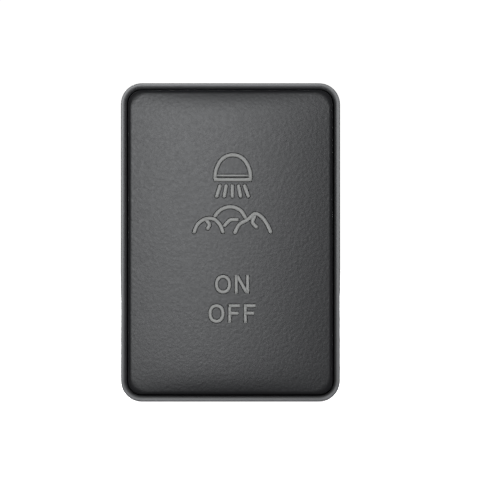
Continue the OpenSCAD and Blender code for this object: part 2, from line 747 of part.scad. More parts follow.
module legend_resistor() color("#2c2c34") upright() chip(-chip_x, chip_y, resistor_body, resistor_caps);
module state_resistor() color("#2c2c34") upright() chip(chip_x, -chip_y, resistor_body, resistor_caps);
module blocking_diode() color("#202024") upright() chip(chip_x, chip_y, diode_body, diode_leads);

module solder_joints() color("#c9ccd0") upright() difference() {
    for (at = [[strip_x + strip_step, -pin_shift], [-outer_x, pin_shift], [outer_x, pin_shift]])
        translate([at.x, at.y, board_front_z]) cylinder(r1 = solder_r, r2 = solder_top_r, h = solder_h);
    terminals(0);
}

housing();
rear_base();
button_cap();
light_guide();
plunger();
return_spring();
latch_pin();
latch_leaf();
moving_contact();
terminal_supply();
terminal_load();
terminal_ground();
terminal_dimmer();
lamp_board();
legend_lamp_upper();
legend_lamp_lower();
state_lamp();
legend_resistor();
state_resistor();
blocking_diode();
solder_joints();
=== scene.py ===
"""Finish of a latching dashboard switch: grained button, etched legend, coil spring, materials and studio.

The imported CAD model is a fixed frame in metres: X to the driver's right, Z up, Y into the dashboard.
The file is laid out as an add-on and run as a script.
"""

import math

import bpy
import numpy as np
from bpy.props import FloatProperty, FloatVectorProperty, IntProperty, PointerProperty
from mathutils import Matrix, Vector


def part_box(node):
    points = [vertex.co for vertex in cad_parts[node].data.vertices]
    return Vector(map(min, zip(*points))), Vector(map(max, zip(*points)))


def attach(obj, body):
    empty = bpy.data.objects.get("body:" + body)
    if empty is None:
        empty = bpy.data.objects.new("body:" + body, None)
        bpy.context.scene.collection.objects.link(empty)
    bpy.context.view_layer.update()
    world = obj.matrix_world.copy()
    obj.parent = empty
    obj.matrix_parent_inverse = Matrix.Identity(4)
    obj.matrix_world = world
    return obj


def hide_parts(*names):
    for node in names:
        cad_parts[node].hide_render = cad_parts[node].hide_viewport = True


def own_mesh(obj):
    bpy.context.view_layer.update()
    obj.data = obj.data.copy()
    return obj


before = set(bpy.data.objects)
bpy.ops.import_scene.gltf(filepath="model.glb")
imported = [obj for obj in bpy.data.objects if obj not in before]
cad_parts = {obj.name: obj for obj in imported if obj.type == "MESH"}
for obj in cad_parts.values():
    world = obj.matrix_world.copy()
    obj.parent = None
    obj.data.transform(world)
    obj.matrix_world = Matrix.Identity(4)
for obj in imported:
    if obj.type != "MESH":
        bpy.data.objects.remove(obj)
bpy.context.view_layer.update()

bl_info = {
    "name": "Dashboard Switch Finish",
    "version": (1, 0, 0),
    "blender": (4, 5, 0),
    "location": "3D View > Sidebar > Switch",
    "description": "Grained button, etched legend, coil spring, materials and studio of a dashboard switch",
    "category": "Object",
}

MM = 0.001
BUTTON_LOW, BUTTON_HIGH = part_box("button_cap")
HOUSING_LOW, HOUSING_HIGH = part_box("housing")
SPRING_LOW, SPRING_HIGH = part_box("return_spring")


def linear(code):
    """Linear RGB of an sRGB hex colour such as "1f2022"."""
    share = np.array([int(code[i : i + 2], 16) for i in (0, 2, 4)]) / 255
    return tuple(np.where(share <= 0.04045, share / 12.92, ((share + 0.055) / 1.055) ** 2.4))


def length(name, description, default):
    """Length property that Blender shows in the scene's unit."""
    return FloatProperty(name=name, description=description, default=default, unit="LENGTH", precision=5)


def power(name, description, default):
    """Light power property, in watts."""
    return FloatProperty(name=name, description=description, default=default, unit="POWER")


def colour(name, description, default):
    """Colour property whose default is an sRGB hex value."""
    return FloatVectorProperty(name=name, description=description, default=linear(default), subtype="COLOR")


class ButtonSizes(bpy.types.PropertyGroup):
    """Form of the button and the grain of its paint."""

    width: length("Width", "Width of the button", BUTTON_HIGH.x - BUTTON_LOW.x)
    height: length("Height", "Height of the button", BUTTON_HIGH.z - BUTTON_LOW.z)
    edge_y: length("Edge Plane", "Y of the face's edge, before the crown rises from it", -9.3 * MM)
    corner: length("Corner Radius", "Corner radius of the button's outline", 1.28 * MM)
    face_corner: length("Face Corner Radius", "Corner radius of the face inside the rolled edge", 2.0 * MM)
    roll: length("Edge Roll", "Width of the rolled edge, seen from the front", 0.25 * MM)
    roll_depth: length("Roll Depth", "Depth of the rolled edge", 0.12 * MM)
    crown: length("Crown", "Rise of the face from its long edges to its middle", 0.5 * MM)
    end_fall: length("End Fall", "Fall of the face to the middle of its top and bottom edges", 0.28 * MM)
    corner_fall: length("Corner Fall", "Fall of the face along its long edges to its corners", 0.12 * MM)
    fullness: FloatProperty(
        name="Fullness", description="Power of the face's fall towards its ends", default=12
    )
    skirt: length("Painted Skirt", "How far the paint runs down the skirt behind the rolled edge", 1.6 * MM)
    paint: length("Paint", "Thickness of the paint over the moulding", 0.03 * MM)
    key: length("Paint Key", "How far the paint's inner face is sunk into the moulding", 0.05 * MM)
    pebble: length("Grain Pebble", "Width of one pebble of the leather grain", 0.5 * MM)
    grain: length("Grain Depth", "Depth of the creases between pebbles", 0.006 * MM)
    face_step: length("Face Step", "Spacing of the surface grid on the face", 0.13 * MM)
    skirt_step: length("Skirt Step", "Spacing of the surface grid on the skirt", 0.4 * MM)
    seed: IntProperty(name="Grain Seed", description="Seed of the grain's pebbles", default=7)


class LegendSizes(bpy.types.PropertyGroup):
    """Etched legend on the button's face."""

    offset_x: length("Centre", "X of the legend's centre line", 0.18 * MM)
    stroke: length("Picture Stroke", "Width of the lines of the lamp and the boulders", 0.36 * MM)
    fine_stroke: length("Fine Stroke", "Width of the thin bar in the lamp", 0.2 * MM)
    letter_stroke: length("Letter Stroke", "Width of the letters' lines", 0.32 * MM)
    letter_height: length("Letter Height", "Height of the capital letters", 1.91 * MM)
    border: length("Burnt Border", "Width of the dark border along each etched line", 0.07 * MM)
    border_drop: length("Border Drop", "How far the border lies below the legend", 0.003 * MM)
    above: length("Stand", "Height of the legend's surface above the moulding", 0.046 * MM)


class SpringSizes(bpy.types.PropertyGroup):
    """Return spring; its length and diameter are the CAD spring's."""

    wire: length("Wire", "Thickness of the spring's wire", 0.4 * MM)
    turns: IntProperty(name="Turns", description="Turns of the spring, closed end turns included", default=9)


class FinishColours(bpy.types.PropertyGroup):
    """Colours of the pieces."""

    paint: colour("Button Paint", "Black soft-touch paint on the button", "303032")
    legend: colour("Legend", "Milky plastic where the paint is etched away", "d8d8d5")
    border: colour("Etched Border", "Paint dulled along the etched lines", "262627")
    housing: colour("Housing", "Black plastic of rim, collar and body", "2a2a2c")
    base: colour("Base", "Glass-filled black plastic of the rear base", "303032")
    acetal: colour("Plunger", "Natural acetal", "e6e2d6")
    guide: colour("Light Guide", "Milky clear acrylic", "e9edf0")
    steel: colour("Spring Steel", "Drawn or rolled spring steel", "b4b6ba")
    bronze: colour("Contact", "Rolled phosphor bronze", "bd8559")
    tin: colour("Terminals", "Tinned brass", "c9bd9c")
    mask: colour("Board", "Green solder mask", "14532e")
    lamp: colour("Lamp Case", "White moulded lamp case", "eeebe0")
    chip: colour("Chip Body", "Dark glazed ceramic", "25252b")
    solder: colour("Solder", "Bright solder", "c8cbd0")
    floor: colour("Floor", "Pale floor and backdrop", "fbfbfa")
    light: colour("Light", "Light of the studio's lamps", "fbfdff")
    room: colour("Room", "Light of the room round the stage", "ffffff")


class StageSizes(bpy.types.PropertyGroup):
    """Camera and lights."""

    lens: FloatProperty(name="Lens", description="Focal length", default=200, subtype="DISTANCE_CAMERA")
    stand_off: length("Stand-off", "Distance of the camera in front of the rim", 276.4 * MM)
    camera_x: length("Camera X", "Sideways place of the camera", 0.99 * MM)
    camera_z: length("Camera Z", "Height of the camera", 0.25 * MM)
    dome: length("Dome", "Radius of the pale floor and of the wall round it", 1.6)
    glow: FloatProperty(name="Glow", description="Brightness of the floor and wall", default=1.08)
    room: FloatProperty(name="Room", description="Brightness of the room round the stage", default=0.016)
    key: power("Key", "Power of the broad light at the upper left", 0.575)
    fill: power("Fill", "Power of the light overhead", 0.07)
    core: power("Core", "Power of the small light at the left", 0.1)
    right: power("Right", "Power of the small light at the upper right", 0.1)
    low: power("Low", "Power of the low strip light", 0.095)
    rear: power("Rear", "Power of each light behind the switch", 1.0)
    side: power("Side", "Power of each light at the sides and on top", 7.0)


def cad(name):
    """CAD node of that name; an operator that needs one stops without it."""
    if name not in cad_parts:
        raise RuntimeError(f"the frame has no node named {name}")
    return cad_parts[name]


def new_piece(name, points, faces, material, body):
    """Mesh object at the origin, smooth shaded, riding on a body and taking a material slot."""
    mesh = bpy.data.meshes.new(name)
    mesh.from_pydata(points.tolist(), [], faces)
    mesh.validate()
    mesh.polygons.foreach_set("use_smooth", np.ones(len(mesh.polygons), bool))
    mesh.materials.append(material)
    piece = bpy.data.objects.new(name, mesh)
    bpy.context.scene.collection.objects.link(piece)
    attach(piece, body)
    return piece


def finish_nodes(names, material):
    """Gives CAD nodes their material."""
    for name in names:
        mesh = cad(name).data
        mesh.materials.clear()
        mesh.materials.append(material)


def grid_faces(rows, columns, first=0):
    """Quads of a grid of points that are numbered row by row."""
    at = first + np.arange(rows * columns).reshape(rows, columns)
    return np.stack([at[:-1, :-1], at[:-1, 1:], at[1:, 1:], at[1:, :-1]], axis=-1).reshape(-1, 4)


def grid_border(rows, columns):
    """Point numbers once round the border of a grid."""
    at = np.arange(rows * columns).reshape(rows, columns)
    return np.concatenate([at[0, :-1], at[:-1, -1], at[-1, :0:-1], at[:0:-1, 0]])


def tube_faces(rings, sides, closed, first=0):
    """Quads between rings of points, and either two end caps or a joint from the last ring to the first."""
    at = first + np.arange(rings * sides).reshape(rings, sides)
    lower = at if closed else at[:-1]
    upper = np.roll(at, -1, axis=0) if closed else at[1:]
    side = np.stack([lower, upper, np.roll(upper, -1, axis=1), np.roll(lower, -1, axis=1)], axis=-1)
    caps = [] if closed else [at[0].tolist(), at[-1, ::-1].tolist()]
    return side.reshape(-1, 4).tolist() + caps


def crown_rise(x, z, size):
    """Rise of the face: a parabola across the width, less a fall towards both ends.

    The fall goes with a high power of the height, and eases by a parabola from the middle to the corners.
    """
    across = (2 * x / size.width) ** 2
    fall = size.end_fall + (size.corner_fall - size.end_fall) * across
    return size.crown * (1 - across) - fall * np.abs(2 * z / size.height) ** size.fullness


def roll_arc(size):
    """Length over the rolled edge: a quarter of an ellipse, near enough a circle of the mean radius."""
    return math.pi / 4 * (size.roll + size.roll_depth)


def pillow(a, b, size):
    """Button's outer surface, from distances a and b measured over it from the middle of the face.

    Beyond the core rectangle between the face's corner centres, the larger of the two distances is the
    reach and the share of the smaller one is the angle, so that a square of distances becomes a quarter
    disc. The reach goes flat to the face's border, then round a quarter ellipse, then straight down the
    skirt. Over the ellipse the corner radius eases from the face's to the outline's. The crown is added.
    """
    face_x = size.width / 2 - size.roll - size.face_corner
    face_z = size.height / 2 - size.roll - size.face_corner
    out_x = np.maximum(np.abs(a) - face_x, 0)
    out_z = np.maximum(np.abs(b) - face_z, 0)
    reach = np.maximum(out_x, out_z)
    nearly_zero = 1e-12
    share = np.minimum(out_x, out_z) / np.maximum(reach, nearly_zero) * math.pi / 4
    angle = np.where(out_x >= out_z, share, math.pi / 2 - share)
    arc = roll_arc(size)
    turn = np.clip((reach - size.face_corner) / arc, 0, 1) * math.pi / 2
    down = np.maximum(reach - size.face_corner - arc, 0)
    inset = size.roll * (1 - np.sin(turn))
    corner = size.corner + (size.face_corner - size.corner) * inset / size.roll
    radius = np.minimum(reach, corner)
    core_x = size.width / 2 - inset - corner
    core_z = size.height / 2 - inset - corner
    x = np.sign(a) * (np.minimum(np.abs(a) / face_x, 1) * core_x + radius * np.cos(angle))
    z = np.sign(b) * (np.minimum(np.abs(b) / face_z, 1) * core_z + radius * np.sin(angle))
    rise = crown_rise(x, z, size) - size.roll_depth * (1 - np.cos(turn)) - down
    return np.stack([x, size.edge_y - rise, z], axis=-1)


def lifted(surface, lift):
    """Surface moved out along its normals, which are the cross products of its two grid directions."""
    normal = np.cross(np.gradient(surface, axis=1), np.gradient(surface, axis=0))
    normal /= np.linalg.norm(normal, axis=-1, keepdims=True)
    return surface + np.asarray(lift)[..., None] * normal


PEBBLE_HEIGHT_SHARE = 0.8
PEBBLE_FLATNESS = 4


def pebbles(a, b, size):
    """Leather grain from 0 in the creases to 1 on the pebbles.

    Points are scattered one to a cell of a lattice. The height is how much further the second nearest
    point is than the nearest, rounded off so that pebbles are flat on top.
    """
    u = a / size.pebble
    v = b / (PEBBLE_HEIGHT_SHARE * size.pebble)
    cell_u, cell_v = np.floor(u).astype(int), np.floor(v).astype(int)
    spread = 2 + int(max(np.abs(cell_u).max(), np.abs(cell_v).max()))
    jitter = np.random.default_rng(size.seed).random((2 * spread + 1, 2 * spread + 1, 2))
    nearest = np.full(u.shape, np.inf)
    second = np.full(u.shape, np.inf)
    for step_u in (-1, 0, 1):
        for step_v in (-1, 0, 1):
            seat_u, seat_v = cell_u + step_u, cell_v + step_v
            seat = jitter[seat_u + spread, seat_v + spread]
            away = np.hypot(seat_u + seat[..., 0] - u, seat_v + seat[..., 1] - v)
            second = np.minimum(second, np.maximum(nearest, away))
            nearest = np.minimum(nearest, away)
    return 1 - np.exp(-PEBBLE_FLATNESS * (second - nearest))


def grid_lines(half_face, skirt, face_step, skirt_step):
    """Grid lines on both sides of zero: close together on the face and roll, further apart on the skirt."""
    face = np.linspace(0, half_face, 1 + math.ceil(half_face / face_step))
    tail = half_face + np.linspace(0, skirt, 1 + math.ceil(skirt / skirt_step))[1:]
    side = np.concatenate([face, tail])
    return np.concatenate([-side[:0:-1], side])


ROUND_END_ANGLES = np.radians(np.linspace(15, 84, 6))
BAND_CORNERS = 4


def ribbon(path, half_width, low, high, closed, round_ends, size):
    """Thin band on the crown: a rectangle carried along a path in the plane of the face.

    Its sides stand half_width to the left and right of the path, and its four corners follow the crown at
    the heights low and high above it. A round end is a half circle: the path runs on by the sine of an
    angle while the half width falls with the cosine.
    """
    width = np.full(len(path), half_width)
    if round_ends:
        run = half_width * np.sin(ROUND_END_ANGLES)
        ease = half_width * np.cos(ROUND_END_ANGLES)
        head = (path[0] - path[1]) / np.linalg.norm(path[0] - path[1])
        tail = (path[-1] - path[-2]) / np.linalg.norm(path[-1] - path[-2])
        path = np.concatenate([path[0] + run[::-1, None] * head, path, path[-1] + run[:, None] * tail])
        width = np.concatenate([ease[::-1], width, ease])
    if closed:
        tangent = np.roll(path, -1, axis=0) - np.roll(path, 1, axis=0)
    else:
        tangent = np.gradient(path, axis=0)
    tangent /= np.linalg.norm(tangent, axis=1, keepdims=True)
    left = np.stack([-tangent[:, 1], tangent[:, 0]], axis=-1)
    side = np.array([1, -1, -1, 1])
    height = np.array([low, low, high, high])
    flat = path[:, None] + side[None, :, None] * (width[:, None] * left)[:, None]
    rise = crown_rise(flat[..., 0], flat[..., 1], size) + height
    points = np.stack([flat[..., 0], size.edge_y - rise, flat[..., 1]], axis=-1)
    return points.reshape(-1, 3), len(path)


def smooth_line(knots, per_span=8):
    """Catmull-Rom curve through the knots: each span is a cubic whose end slopes follow the neighbours."""
    knots = np.asarray(knots, float)
    padded = np.concatenate([2 * knots[:1] - knots[1:2], knots, 2 * knots[-1:] - knots[-2:-1]])
    before, start, end, after = padded[:-3], padded[1:-2], padded[2:-1], padded[3:]
    t = np.linspace(0, 1, per_span, endpoint=False)[None, :, None]
    curve = 0.5 * (
        2 * start[:, None]
        + (end - before)[:, None] * t
        + (2 * before - 5 * start + 4 * end - after)[:, None] * t**2
        + (3 * start - before - 3 * end + after)[:, None] * t**3
    )
    return np.concatenate([curve.reshape(-1, 2), knots[-1:]])


def straight(start, end, parts=6):
    """Points along a straight line."""
    return np.linspace(start, end, parts + 1)


def oval(centre, half_size, fullness=2.0, parts=64, turn=(0, 360)):
    """Points round a superellipse: signed powers of cosine and sine."""
    angle = np.radians(np.linspace(*turn, parts, endpoint=turn[1] - turn[0] < 360))
    around = np.stack([np.cos(angle), np.sin(angle)], axis=-1)
    ring = np.sign(around) * np.abs(around) ** (2 / fullness)
    return np.asarray(centre) + ring * np.asarray(half_size)


# Legend in millimetres, from its own centre line and the middle of the face
LAMP_BOTTOM, LAMP_TOP, LAMP_HALF = 6.27, 9.18, 2.02
LAMP_X = 0.07
LAMP_FULLNESS = 2.15
FINE_BAR_Z = 6.88
RAY_TOPS = (-1.25, -0.62, 0.02, 0.66, 1.29)
RAY_FEET = (-1.58, -0.8, 0.02, 0.86, 1.66)
RAY_TOP_Z, RAY_FOOT_Z = 5.8, 4.76
BOULDERS = (
    ((-3.9, 1.1), (-3.55, 1.85), (-2.75, 2.42), (-1.85, 2.38), (-1.25, 1.8), (-0.95, 1.1)),
    ((-2.7, 2.35), (-2.35, 1.85), (-2.5, 1.45)),
    ((-1.75, 2.75), (-1.1, 3.4), (-0.1, 3.66), (0.85, 3.3), (1.35, 2.6)),
    ((-0.75, 1.75), (-0.2, 2.3), (0.5, 2.35)),
    ((0.3, 1.05), (0.75, 1.85), (1.6, 2.35), (2.35, 2.95), (3.05, 2.6), (3.6, 1.85), (3.95, 1.1)),
    ((2.3, 2.65), (2.1, 2.05), (2.5, 1.6)),
)
WORDS = {"ON": -5.25, "OFF": -8.26}
LETTER_GAP = 0.38
# Proportions of the letters, as shares of their height or stroke
LETTER_WIDTH = {"O": 0.86, "N": 0.78, "F": 0.64}
O_FULLNESS = 2.2
N_SLANT_INSET = 0.35
F_BAR_HEIGHT = 0.52
F_BAR_SHORTER = 0.08


def letter(kind, left, base, height, stroke):
    """Lines of a plain capital letter of even stroke, and its width: each is (path, closed)."""
    width = LETTER_WIDTH[kind] * height
    top = base + height
    if kind == "O":
        centre = (left + width / 2, base + height / 2)
        half = ((width - stroke) / 2, (height - stroke) / 2)
        return [(oval(centre, half, O_FULLNESS), True)], width
    start = left + stroke / 2
    if kind == "N":
        end = left + width - stroke / 2
        inset = N_SLANT_INSET * stroke
        uprights = [(straight((x, base), (x, top)), False) for x in (start, end)]
        slant = straight((start + inset, top - inset), (end - inset, base + inset))
        return [*uprights, (slant, False)], width
    end = left + width
    arm = top - stroke / 2
    bar = base + F_BAR_HEIGHT * height
    return [
        (straight((start, base), (start, top)), False),
        (straight((left, arm), (end, arm)), False),
        (straight((left, bar), (end - F_BAR_SHORTER * height, bar)), False),
    ], width


def word_lines(word, base, height, stroke):
    """Lines of a word centred on zero."""
    lines, left = [], 0.0
    for kind in word:
        strokes, width = letter(kind, left, base, height, stroke)
        lines += strokes
        left += width + LETTER_GAP
    shift = np.array([(left - LETTER_GAP) / 2, 0])
    return [(path - shift, closed) for path, closed in lines]


def legend_lines(size):
    """Every line of the legend: (path in metres, half width, closed, round ends)."""
    stroke, fine, letters = size.stroke / MM, size.fine_stroke / MM, size.letter_stroke / MM
    foot = LAMP_BOTTOM + stroke / 2
    half = (LAMP_HALF - stroke / 2, LAMP_TOP - stroke / 2 - foot)
    dome = oval((LAMP_X, foot), half, LAMP_FULLNESS, parts=48, turn=(0, 180))
    lamp = np.concatenate([dome, straight(dome[-1], dome[0])[1:-1]])
    bar = straight((LAMP_X - LAMP_HALF + stroke, FINE_BAR_Z), (LAMP_X + LAMP_HALF - stroke, FINE_BAR_Z))
    lines = [(lamp, stroke, True, False), (bar, fine, False, False)]
    rays = [straight((top, RAY_TOP_Z), (foot_x, RAY_FOOT_Z)) for top, foot_x in zip(RAY_TOPS, RAY_FEET)]
    lines += [(ray, stroke, False, True) for ray in rays]
    lines += [(smooth_line(knots), stroke, False, True) for knots in BOULDERS]
    for word, base in WORDS.items():
        strokes = word_lines(word, base, size.letter_height / MM, letters)
        lines += [(path, letters, closed, False) for path, closed in strokes]
    shift = np.array([size.offset_x / MM, 0])
    return [
        ((path + shift) * MM, width * MM / 2, closed, round_ends)
        for path, width, closed, round_ends in lines
    ]


def coil(front, rear, diameter, wire, turns, steps=40, sides=12):
    """Coil spring along Y with closed end turns: a circle carried round a helix.

    The wire climbs by its own thickness in the first and the last turn, and evenly in between.
    """
    turn = np.linspace(0, turns, turns * steps + 1)
    climb = wire * (np.minimum(turn, 1) + np.maximum(0, turn - turns + 1))
    rise = (rear - front - 3 * wire) * np.clip((turn - 1) / (turns - 2), 0, 1)
    middle = (rear - wire / 2 - climb - rise)[:, None]
    angle = np.linspace(0, 2 * math.pi, sides, endpoint=False)[None]
    radius = (diameter - wire) / 2 + wire / 2 * np.sin(angle)
    around = 2 * math.pi * turn[:, None]
    along = middle - wire / 2 * np.cos(angle)
    rings = np.stack([radius * np.cos(around), along, radius * np.sin(around)], axis=-1)
    return rings.reshape(-1, 3), len(turn), sides


# A Mix node for colours has its factor, first colour, second colour and result at these sockets
MIX_FACTOR, MIX_FIRST, MIX_SECOND, MIX_RESULT = 0, 6, 7, 2
# Nearly all of a noise texture lies between these values; its detail is how often it is laid over itself
NOISE_LOW, NOISE_HIGH = 0.3, 0.7
DETAIL, FINE_DETAIL = 2.0, 3.0
PLASTIC_IOR = 1.53
PAINT_IOR = 1.5
POLYCARBONATE_IOR = 1.58
# Depth of the lines on drawn or rolled metal
SCRATCH_DEPTH = 0.002 * MM
# Outer lip of the rim: corner radius, width, blend into the rim, and depth behind the front
LIP_CORNER = 2.2 * MM
LIP_WIDTH = 0.33 * MM
LIP_BLEND = 0.1 * MM
LIP_DEPTH = 0.12 * MM
# How many times paler the lip is painted than the rest, a painted highlight for the rim's reflection, and
# how much of it the lacquer covers
LIP_PAINTED_HIGHLIGHT = 4
LIP_LACQUER = 0.5
# Radius of the housing's rounded edges
SOFT_EDGE = 0.12 * MM


def add_node(tree, kind, inputs=None, **settings):
    """Adds one node with its settings; each input gets a value, or a link if it is given a socket."""
    node = tree.nodes.new(kind)
    for key, value in settings.items():
        setattr(node, key, value)
    for key, value in (inputs or {}).items():
        if isinstance(value, bpy.types.NodeSocket):
            tree.links.new(value, node.inputs[key])
        else:
            node.inputs[key].default_value = value
    return node


def per_size(width):
    """Scale of a pattern whose features are that wide, in metres."""
    return 1 / width


def new_material(name):
    """Empty node material, its tree and its Object coordinates."""
    material = bpy.data.materials.new(name)
    material.use_nodes = True
    tree = material.node_tree
    tree.nodes.clear()
    place = add_node(tree, "ShaderNodeTexCoord").outputs["Object"]
    return material, tree, place


def close_material(tree, **sockets):
    """Principled surface and output; keywords are its sockets with underscores for spaces."""
    inputs = {key.replace("_", " "): value for key, value in sockets.items()}
    shader = add_node(tree, "ShaderNodeBsdfPrincipled", inputs)
    add_node(tree, "ShaderNodeOutputMaterial", {"Surface": shader.outputs[0]})


def rgba(shade, factor=1.0):
    """Colour for a socket, made lighter or darker by a factor."""
    return (*(min(1.0, channel * factor) for channel in shade), 1.0)


def clouded(tree, place, shade, width, spread):
    """Colour that drifts lighter and darker by a share, in clouds of a real width."""
    inputs = {"Vector": place, "Scale": per_size(width), "Detail": FINE_DETAIL}
    clouds = add_node(tree, "ShaderNodeTexNoise", inputs)
    inputs = {
        MIX_FACTOR: clouds.outputs["Fac"],
        MIX_FIRST: rgba(shade, 1 - spread),
        MIX_SECOND: rgba(shade, 1 + spread),
    }
    return add_node(tree, "ShaderNodeMix", inputs, data_type="RGBA").outputs[MIX_RESULT]


def uneven(tree, place, width, roughness, spread):
    """Roughness that wanders up and down by a spread, over a real width."""
    inputs = {"Vector": place, "Scale": per_size(width), "Detail": DETAIL}
    patches = add_node(tree, "ShaderNodeTexNoise", inputs)
    inputs = {
        "Value": patches.outputs["Fac"],
        "From Min": NOISE_LOW,
        "From Max": NOISE_HIGH,
        "To Min": roughness - spread,
        "To Max": roughness + spread,
    }
    return add_node(tree, "ShaderNodeMapRange", inputs).outputs[0]


def pitted(tree, place, width, depth, detail=DETAIL, **links):
    """Normal of a surface with pits or lines of a given width and depth; links are for other sockets.

    Pits of erosion and lines of drawing are a few hundredths of a millimetre wide on the real pieces, too
    fine to show in the render, so they are drawn several times coarser.
    """
    inputs = {"Vector": place, "Scale": per_size(width), "Detail": detail}
    pits = add_node(tree, "ShaderNodeTexNoise", inputs)
    inputs = {"Height": pits.outputs["Fac"], "Distance": depth, **links}
    return add_node(tree, "ShaderNodeBump", inputs).outputs[0]


def moulded_plastic(name, shade, roughness, texture, depth, edge):
    """Moulded thermoplastic: even colour, fine spark-eroded texture from the mould, slightly soft edges.

    The texture scatters the highlight into a satin sheen, and the soft edges catch a thin line of light.
    """
    material, tree, place = new_material(name)
    soft = add_node(tree, "ShaderNodeBevel", {"Radius": edge}, samples=4)
    close_material(
        tree,
        Base_Color=clouded(tree, place, shade, width=6 * MM, spread=0.06),
        Roughness=uneven(tree, place, 2 * MM, roughness, spread=0.04),
        IOR=PLASTIC_IOR,
        Normal=pitted(tree, place, texture, depth, Normal=soft.outputs[0]),
    )
    return material


def lip_masks(tree, place):
    """Masks of the rim's front and of the lip along its outer edge.

    The lip is where the distance from the rectangle between the rim's corner centres nears the corner
    radius. The rectangle is a metre deep, so that depth doesn't count.
    """
    core = (HOUSING_HIGH.x - LIP_CORNER, 1.0, HOUSING_HIGH.z - LIP_CORNER)
    out = add_node(tree, "ShaderNodeVectorMath", {0: place}, operation="ABSOLUTE").outputs[0]
    out = add_node(tree, "ShaderNodeVectorMath", {0: out, 1: core}, operation="SUBTRACT").outputs[0]
    out = add_node(tree, "ShaderNodeVectorMath", {0: out, 1: (0, 0, 0)}, operation="MAXIMUM").outputs[0]
    out = add_node(tree, "ShaderNodeVectorMath", {0: out}, operation="LENGTH").outputs["Value"]
    start = LIP_CORNER - LIP_WIDTH
    inputs = {"Value": out, "From Min": start - LIP_BLEND, "From Max": start + LIP_BLEND}
    edge = add_node(tree, "ShaderNodeMapRange", inputs).outputs[0]
    depth = add_node(tree, "ShaderNodeSeparateXYZ", {0: place}).outputs["Y"]
    inputs = {
        "Value": depth,
        "From Min": HOUSING_LOW.y + 2 * LIP_DEPTH,
        "From Max": HOUSING_LOW.y + LIP_DEPTH,
    }
    front = add_node(tree, "ShaderNodeMapRange", inputs).outputs[0]
    lip = add_node(tree, "ShaderNodeMath", {0: edge, 1: front}, operation="MULTIPLY").outputs[0]
    return front, lip


def polished_and_eroded(name, shade, eroded, polished, texture, depth):
    """ABS moulding with a smooth rim, a lacquered lip painted paler as a painted highlight, and a
    spark-eroded body.

    The lip's painted highlight reads as a thin pale frame that fades into the gap, the erosion spreads light
    over the body as a dull sheen, and the soft edges round off the highlights.
    """
    material, tree, place = new_material(name)
    front, lip = lip_masks(tree, place)
    rough = add_node(tree, "ShaderNodeMapRange", {"Value": lip, "To Min": eroded, "To Max": polished})
    lacquer = add_node(tree, "ShaderNodeMath", {0: lip, 1: LIP_LACQUER}, operation="MULTIPLY")
    # Painted highlight: the lip's colour is mixed paler than the black, in place of the rim's bright
    # reflection
    inputs = {
        MIX_FACTOR: lip,
        MIX_FIRST: clouded(tree, place, shade, width=6 * MM, spread=0.06),
        MIX_SECOND: rgba(shade, LIP_PAINTED_HIGHLIGHT),
    }
    tone = add_node(tree, "ShaderNodeMix", inputs, data_type="RGBA")
    strength = add_node(tree, "ShaderNodeMapRange", {"Value": front, "To Min": 1.0, "To Max": 0.0})
    soft = add_node(tree, "ShaderNodeBevel", {"Radius": SOFT_EDGE}, samples=8)
    links = {"Strength": strength.outputs[0], "Normal": soft.outputs[0]}
    close_material(
        tree,
        Base_Color=tone.outputs[MIX_RESULT],
        Roughness=rough.outputs[0],
        IOR=PLASTIC_IOR,
        Coat_Weight=lacquer.outputs[0],
        Coat_Roughness=0.36,
        Normal=pitted(tree, place, texture, depth, **links),
        Coat_Normal=soft.outputs[0],
    )
    return material


def leather_paint(name, shade, roughness, grain_width, grain_depth):
    """Soft-touch paint on a leather-grained moulding: broad, dim highlight broken by the grain."""
    material, tree, place = new_material(name)
    inputs = {"Vector": place, "Scale": per_size(grain_width)}
    wrinkles = add_node(tree, "ShaderNodeTexVoronoi", inputs, feature="SMOOTH_F1")
    inputs = {"Height": wrinkles.outputs["Distance"], "Distance": grain_depth}
    creased = add_node(tree, "ShaderNodeBump", inputs, invert=True).outputs[0]
    close_material(
        tree,
        Base_Color=clouded(tree, place, shade, width=4 * MM, spread=0.04),
        Roughness=uneven(tree, place, 0.3 * MM, roughness, spread=0.02),
        IOR=PAINT_IOR,
        Normal=pitted(tree, place, grain_width / 2, grain_depth, FINE_DETAIL, Normal=creased),
    )
    return material


def etched_plastic(name, shade, roughness, pit_width, pit_depth):
    """Milky polycarbonate laid bare by a laser: dull, very finely pitted and slightly uneven in tone."""
    material, tree, place = new_material(name)
    close_material(
        tree,
        Base_Color=clouded(tree, place, shade, width=0.5 * MM, spread=0.06),
        Roughness=roughness,
        IOR=POLYCARBONATE_IOR,
        Normal=pitted(tree, place, pit_width, pit_depth),
    )
    return material


def worked_metal(name, shade, roughness, scratch, direction):
    """Drawn or rolled metal: fine lines along the working direction stretch the highlight across them."""
    material, tree, place = new_material(name)
    stretched = add_node(tree, "ShaderNodeMapping", {"Vector": place, "Scale": direction}).outputs[0]
    close_material(
        tree,
        Base_Color=clouded(tree, place, shade, width=3 * MM, spread=0.05),
        Roughness=uneven(tree, place, 0.8 * MM, roughness, spread=0.05),
        Metallic=1.0,
        Normal=pitted(tree, stretched, scratch, SCRATCH_DEPTH),
    )
    return material


def glowing_paper(name, shade, glow):
    """Matt paper lit evenly from behind: it stays pale all over, with hardly a change in tone."""
    material, tree, place = new_material(name)
    close_material(
        tree,
        Base_Color=clouded(tree, place, shade, width=0.3, spread=0.01),
        Roughness=0.9,
        Emission_Color=rgba(shade),
        Emission_Strength=glow,
    )
    return material


# Front lights in metres: name, place with Y from the rim's front, and width and height
FRONT_LIGHTS = (
    ("key", (-0.0525, -0.45, 0.052), (0.185, 0.08)),
    ("fill", (0.0, -0.5, 0.3), (0.3, 0.2)),
    ("core", (-0.085, -0.45, 0.015), (0.09, 0.05)),
    ("right", (0.065, -0.45, 0.08), (0.05, 0.08)),
    ("low", (-0.04, -0.45, -0.07), (0.2, 0.04)),
)
